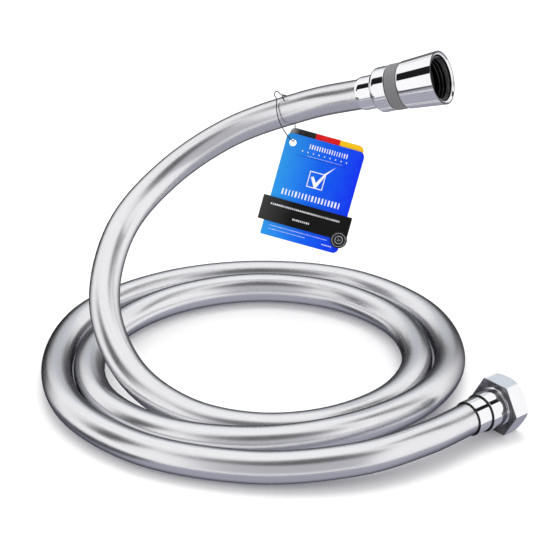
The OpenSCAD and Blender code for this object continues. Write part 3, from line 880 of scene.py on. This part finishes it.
card = card_sheet("blue_card", 0, 0, card_w, card_h, 0)
finish_piece(card, printed("blue printed card", blue_print, 0.34), "tag_card", "tag")
backing_in, backing_up = 1, 3
backing_h = card_h + backing_show - backing_up
backing_w, backing_z = card_w - 2 * backing_in, -card_t - card_gap
backing = card_sheet("striped_card", backing_in, backing_show, backing_w, backing_h, backing_z)
finish_piece(backing, printed("striped card", stripe_print, 0.4), "tag_backing", "tag")


# Print on the blue card. A plain box with a tick and rows of short bars, screened
# on in white ink, with one dotted rule in navy, all a little proud of the card.
def printing_ink(name, colour, worn):
    """Opaque ink, slightly uneven."""
    return worn_finish(name, (300, 4000), colour, worn, (0.35, 0.5), specular=0.12)


ink = printing_ink("white ink", (0.93, 0.94, 0.96, 1), (0.80, 0.84, 0.92, 1))
navy_ink = printing_ink("navy ink", (0.0, 0.03, 0.30, 1), (0.0, 0.05, 0.40, 1))
ink_t = 0.03


def dash_tree():
    """A row of short bars along X, with their number, spacing and size as inputs."""
    tree, wanted = growing_tree("row of dashes", (
        ("Count", "Int"), ("Spacing", "Float"), ("Bar", "Vector"), ("Unevenness", "Float"), ("Seed", "Int"),
        ("Finish", "Material"),
    ))
    step = node(tree, "ShaderNodeCombineXYZ", {0: wanted["Spacing"]})
    row = node(tree, "GeometryNodeMeshLine", {"Count": wanted["Count"], "Offset": step.outputs[0]})
    bar = node(tree, "GeometryNodeMeshCube", {"Size": wanted["Bar"]})
    least = maths(tree, "SUBTRACT", 1.0, wanted["Unevenness"])
    wide = node(
        tree, "FunctionNodeRandomValue", {2: least, 3: 1.0, "Seed": wanted["Seed"]}, data_type="FLOAT",
    )
    size = node(tree, "ShaderNodeCombineXYZ", {0: wide.outputs[1], 1: 1.0, 2: 1.0})
    placed = node(tree, "GeometryNodeInstanceOnPoints", {
        "Points": row.outputs[0], "Instance": bar.outputs[0], "Scale": size.outputs[0],
    })
    return dressed(tree, placed, wanted["Finish"])


row_of_dashes = dash_tree()


def dashes(name, x, y, z, count, spacing, bar_w, bar_h, seed, uneven, finish=ink):
    """A printed row of bars at a place on the card."""
    made = grown(name, row_of_dashes, {
        "Count": count, "Spacing": spacing, "Bar": (bar_w, bar_h, ink_t), "Unevenness": uneven,
        "Seed": seed, "Finish": finish,
    })
    made.data.transform(tag_place @ Matrix.Translation((x, y, z)))
    return made


def flat_prism(name, outline, z):
    """A flat printed shape from its outline, as thick as the ink."""
    count = len(outline)
    verts = [tag_place @ Vector((x, y, height)) for height in (z, z + ink_t) for x, y in outline]
    faces = [list(reversed(range(count))), list(range(count, 2 * count))]
    faces += [[i, (i + 1) % count, count + (i + 1) % count, count + i] for i in range(count)]
    made = facing_out(piece(name, verts, faces))
    made.data.materials.append(ink)
    return made


def joined(name, parts, body):
    """Makes several meshes one piece."""
    shape = bmesh.new()
    finishes = []
    for part in parts:
        own = list(part.data.materials)
        finishes += [finish for finish in own if finish not in finishes]
        before = len(shape.faces)
        shape.from_mesh(part.data)
        shape.faces.ensure_lookup_table()
        for face in shape.faces[before:]:
            face.material_index = finishes.index(own[min(face.material_index, len(own) - 1)])
    mesh = bpy.data.meshes.new(name)
    shape.to_mesh(mesh)
    shape.free()
    for finish in finishes:
        mesh.materials.append(finish)
    for part in parts:
        bpy.data.objects.remove(part)
    made = linked(name, mesh)
    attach(made, body)
    return made


ink_z = card_t + 0.01
box_left, box_top, box_side, box_line = 15.1, -14.9, 7.8, 0.42
box_right, box_low = box_left + box_side, box_top - box_side
print_parts = []
for k, (x0, y0, x1, y1) in enumerate((
    (box_left, box_top - box_line, box_right, box_top),
    (box_left, box_low, box_right, box_low + box_line),
    (box_left, box_low + box_line, box_left + box_line, box_top - box_line),
    (box_right - box_line, box_low + box_line, box_right, box_top - box_line),
)):
    print_parts.append(flat_prism(f"box_bar_{k}", [(x0, y0), (x1, y0), (x1, y1), (x0, y1)], ink_z))
tick = [
    (1.0, -2.9), (2.3, -2.3), (4.0, -5.0), (7.2, 0.5), (11.4, 4.5), (7.9, 0.0), (4.7, -7.3), (3.6, -7.3),
]
tick = [(box_left + x, box_top + y) for x, y in tick]
print_parts.append(flat_prism("tick", tick, ink_z + ink_t + 0.01))
for name, x, y, count, spacing, bar_w, bar_h, seed, uneven, finish in (
    ("bars_top", 12.0, -4.0, 16, 1.2, 0.6, 2.2, 5, 0.5, ink),
    ("bars_under", 9.0, -6.9, 9, 2.7, 0.55, 0.6, 6, 0.2, ink),
    ("dotted_rule", 6.3, -9.3, 45, 0.56, 0.3, 0.3, 4, 0.0, navy_ink),
    ("small_top", 12.0, -8.6, 34, 0.5, 0.28, 0.22, 3, 0.5, ink),
    ("bars_middle", 5.0, -27.7, 18, 1.62, 0.85, 2.8, 7, 0.5, ink),
    ("small_a", 3.6, -44.9, 30, 0.95, 0.6, 0.3, 8, 0.5, ink),
    ("small_b", 3.6, -46.6, 19, 0.95, 0.6, 0.3, 9, 0.5, ink),
    ("small_c", 30.0, -47.4, 5, 1.0, 0.65, 0.5, 10, 0.4, ink),
):
    print_parts.append(dashes(name, x, y, ink_z, count, spacing, bar_w, bar_h, seed, uneven, finish))
card_print = joined("card_print", print_parts, "tag")


# Paper band. A strip of black paper glued into a loop round both cards; it bows a
# little away from them. A round seal with a plain ring and dashes is stuck on it.
band_h, band_up, band_t = 11.6, 6.9, 0.25
band_left, band_right = 3.0, 2.4
band_gap, band_bow = 0.15, 0.35
band_low = -card_h + band_up


def black_print(tree, x, y, mottle):
    """Black paper with a painted grey sheen toward its left end."""
    share = spread(tree, x, 0.0, 0.35, 0.35, 0.0)
    base = mixed(tree, share, (0.006, 0.006, 0.006, 1), (0.12, 0.12, 0.12, 1))
    return mixed(tree, spread(tree, mottle, 0.3, 0.7, 0.0, 0.15), base, (0.014, 0.014, 0.014, 1))


def paper_loop():
    """The band's closed strip, drawn as a bowed loop round the cards and given its paper thickness."""
    half = card_t + card_gap / 2 + band_gap + band_t / 2
    middle_z = -card_gap / 2
    left, right = -band_left + half, card_w + band_right - half
    steps = 36
    loop = []
    for side, end in ((1, right), (-1, left)):
        for i in range(steps + 1):
            t = (i if side > 0 else steps - i) / steps
            bow = band_bow * math.sin(math.pi * t)
            loop.append((left + (right - left) * t, middle_z + side * (half + bow)))
        for a in np.linspace(0, math.pi, 10)[1:-1]:
            loop.append((end + side * half * math.sin(a), middle_z + side * half * math.cos(a)))
    count = len(loop)
    normals = []
    for i in range(count):
        d = Vector(loop[(i + 1) % count]) - Vector(loop[i - 1])
        normals.append(Vector((-d.y, d.x)).normalized())
    rows = 7
    verts = []
    for skin in (0.5, -0.5):
        for j in range(rows):
            y = band_low + band_h * j / (rows - 1)
            for (x, z), n in zip(loop, normals):
                verts.append((x + n.x * band_t * skin, y, z + n.y * band_t * skin))
    inner = rows * count
    faces = grid_faces(rows, count, closed=False)
    faces += [[inner + corner for corner in face] for face in faces]
    for j in (0, rows - 1):
        for i in range(count):
            a, b = j * count + i, j * count + (i + 1) % count
            faces.append([a, b, inner + b, inner + a])
    wide = card_w + band_left + band_right
    uvs = []
    for x, y, _ in (verts[corner] for face in faces for corner in face):
        uvs.append(((x + band_left) / wide, (y - band_low) / band_h))
    return facing_out(piece("paper_band", [tag_place @ Vector(v) for v in verts], faces, uvs))


band = finish_piece(paper_loop(), printed("black paper", black_print, 0.45), "tag_band", "tag")

band_z = card_t + band_gap + band_t + band_bow + 0.01
band_rules = [
    dashes("band_rule_a", 1.4, band_low + 8.4, band_z, 36, 0.95, 0.55, 0.9, 11, 0.5),
    dashes("band_rule_b", 13.4, band_low + 3.6, band_z, 9, 0.95, 0.55, 0.9, 12, 0.4),
]
band_print = joined("band_print", band_rules, "tag")


def tick_ring_tree():
    """Small bars set round a circle, with their number, radius and size as inputs."""
    tree, wanted = growing_tree("ring of ticks", (
        ("Count", "Int"), ("Radius", "Float"), ("Bar", "Vector"), ("Finish", "Material"),
    ))
    ring = node(tree, "GeometryNodeMeshCircle", {"Vertices": wanted["Count"], "Radius": wanted["Radius"]})
    bar = node(tree, "GeometryNodeMeshCube", {"Size": wanted["Bar"]})
    place = node(tree, "GeometryNodeInputPosition")
    turn = node(tree, "FunctionNodeAlignRotationToVector", {"Vector": place.outputs[0]}, axis="X")
    placed = node(tree, "GeometryNodeInstanceOnPoints", {
        "Points": ring.outputs[0], "Instance": bar.outputs[0], "Rotation": turn.outputs[0],
    })
    return dressed(tree, placed, wanted["Finish"])


tick_ring = tick_ring_tree()
label = worn_finish(
    "black label", (260, 3600), (0.01, 0.01, 0.01, 1), (0.03, 0.03, 0.03, 1), (0.3, 0.45), specular=0.12,
)
seal_r, seal_t = 4.0, 0.22
seal_place = tag_place @ Matrix.Translation((card_w - 1.1, band_low, band_z - 0.02))
seal = turned("round_seal", [(0, 0), (seal_r, 0, 0.05), (seal_r, seal_t, 0.08), (0, seal_t)], seal_place, 72)
finish_piece(seal, label, "tag_seal", "tag")
seal_marks = []
for k, (count, radius, bar_h) in enumerate(((24, 3.2, 0.46), (3, 0.55, 0.5))):
    ring_of_marks = grown(f"seal_ticks_{k}", tick_ring, {
        "Count": count, "Radius": radius, "Bar": (0.16, bar_h, ink_t), "Finish": ink,
    })
    ring_of_marks.data.transform(seal_place @ Matrix.Translation((0, 0, seal_t + 0.025)))
    seal_marks.append(ring_of_marks)
circle_r, circle_w, ink_low, ink_high = 1.75, 0.12, seal_t + 0.015, seal_t + 0.04
circle = flat_ring("seal_circle", circle_r, circle_r + circle_w, ink_low, ink_high, seal_place, 0, 72)
circle.data.materials.append(ink)
seal_marks.append(circle)
seal_print = joined("seal_print", seal_marks, "tag")
for paper in (card, backing, card_print, band, band_print, seal, seal_print):
    paper.visible_glossy = False


# Floor and light. A plain white floor, a broad soft overhead light for the shadow,
# and a white room whose dark patches only the metals mirror.
floor_half, floor_z = 6.0, -0.0002
floor_corners = [(x * floor_half, y * floor_half, floor_z) for x, y in ((-1, -1), (1, -1), (1, 1), (-1, 1))]
floor_mesh = bpy.data.meshes.new("floor")
floor_mesh.from_pydata(floor_corners, [], [(0, 1, 2, 3)])
floor_mesh.materials.append(worn_finish(
    "white floor", (3, 60), (0.90, 0.90, 0.90, 1), (0.897, 0.897, 0.897, 1), (0.26, 0.32), specular=0.15,
))
floor = linked("floor", floor_mesh)
floor.visible_glossy = False


def studio_room():
    """White surroundings with patches for the metals to mirror, plain to the camera and for soft light."""
    world = bpy.data.worlds.new("studio")
    bpy.context.scene.world = world
    world.use_nodes = True
    tree = world.node_tree
    tree.nodes.clear()
    toward = node(tree, "ShaderNodeTexCoord").outputs["Generated"]
    right, back, up = node(tree, "ShaderNodeSeparateXYZ", {0: toward}).outputs

    def calc(*wanted):
        return maths(tree, *wanted)

    def edges(value, low, high):
        return spread(tree, value, low, high, 0.0, 1.0, interpolation_type="SMOOTHSTEP")

    def patch(*shares):
        share = shares[0]
        for other in shares[1:]:
            share = calc("MULTIPLY", share, other)
        return share

    sideways = calc("ABSOLUTE", right)
    front = patch(edges(back, -0.2, -0.4), edges(sideways, 0.62, 0.42), edges(up, -0.35, -0.2))
    back_high = patch(edges(back, 0.74, 0.84), edges(up, 0.4, 0.44))
    ground = edges(up, -0.41, -0.45)
    left_low = patch(edges(right, -0.7, -0.76), edges(up, -0.3, -0.36))
    below_horizon = edges(calc("ABSOLUTE", calc("ADD", up, 0.16)), 0.4, 0.26)
    left_back = patch(edges(right, -0.22, -0.36), edges(back, 0.6, 0.76), below_horizon)
    rounded = calc("ADD", back, calc("MULTIPLY", sideways, 0.45))
    hood = patch(edges(sideways, 0.8, 0.15), edges(up, 0.6, 0.7), edges(rounded, -0.14, -0.24))
    near_horizon = edges(calc("ABSOLUTE", calc("ADD", up, 0.09)), 0.46, 0.38)
    far = calc("MULTIPLY", patch(edges(back, 0.8, 0.88), near_horizon), 0.82)
    above = calc("MAXIMUM", up, 0.02)
    across, along = calc("DIVIDE", right, above), calc("DIVIDE", back, above)
    off = calc("ABSOLUTE", calc("SUBTRACT", along, calc("ADD", calc("MULTIPLY", across, 0.136), 0.1)))
    wide = calc("SUBTRACT", 0.252, calc("MULTIPLY", across, 0.087))
    reach = calc("MAXIMUM", edges(right, 0.3, 0.5), edges(right, -0.5, -0.76))
    strip = patch(edges(calc("SUBTRACT", wide, off), -0.015, 0.015), reach, edges(up, 0.2, 0.22))
    colour = (1.0, 1.0, 1.0, 1)
    for share, tone in (
        (front, (0.50, 0.50, 0.53, 1)),
        (back_high, (0.68, 0.73, 0.78, 1)),
        (ground, (0.38, 0.38, 0.45, 1)),
        (left_low, (0.07, 0.07, 0.08, 1)),
        (left_back, (0.09, 0.09, 0.095, 1)),
        (hood, (0.10, 0.10, 0.105, 1)),
        (far, (0.012, 0.012, 0.014, 1)),
        (strip, (0.012, 0.012, 0.014, 1)),
    ):
        colour = mixed(tree, share, colour, tone)
    rays = node(tree, "ShaderNodeLightPath").outputs
    plain = calc("MAXIMUM", rays["Is Diffuse Ray"], rays["Is Camera Ray"])
    seen = mixed(tree, plain, colour, (1.18, 1.18, 1.18, 1))
    light = node(tree, "ShaderNodeBackground", {"Color": seen, "Strength": 1.0})
    node(tree, "ShaderNodeOutputWorld", {0: light.outputs[0]})


studio_room()
lamp_data = bpy.data.lights.new("overhead softbox", "AREA")
lamp_data.shape = "RECTANGLE"
lamp_data.size, lamp_data.size_y = 1.2, 0.8
lamp_data.energy = 9.0
lamp_data.specular_factor = 0.0
lamp = linked("overhead softbox", lamp_data)
lamp.location = (0.1, 0.35, 1.5)
lamp.rotation_euler = (math.radians(-14), 0, 0)
lamp.visible_glossy = False
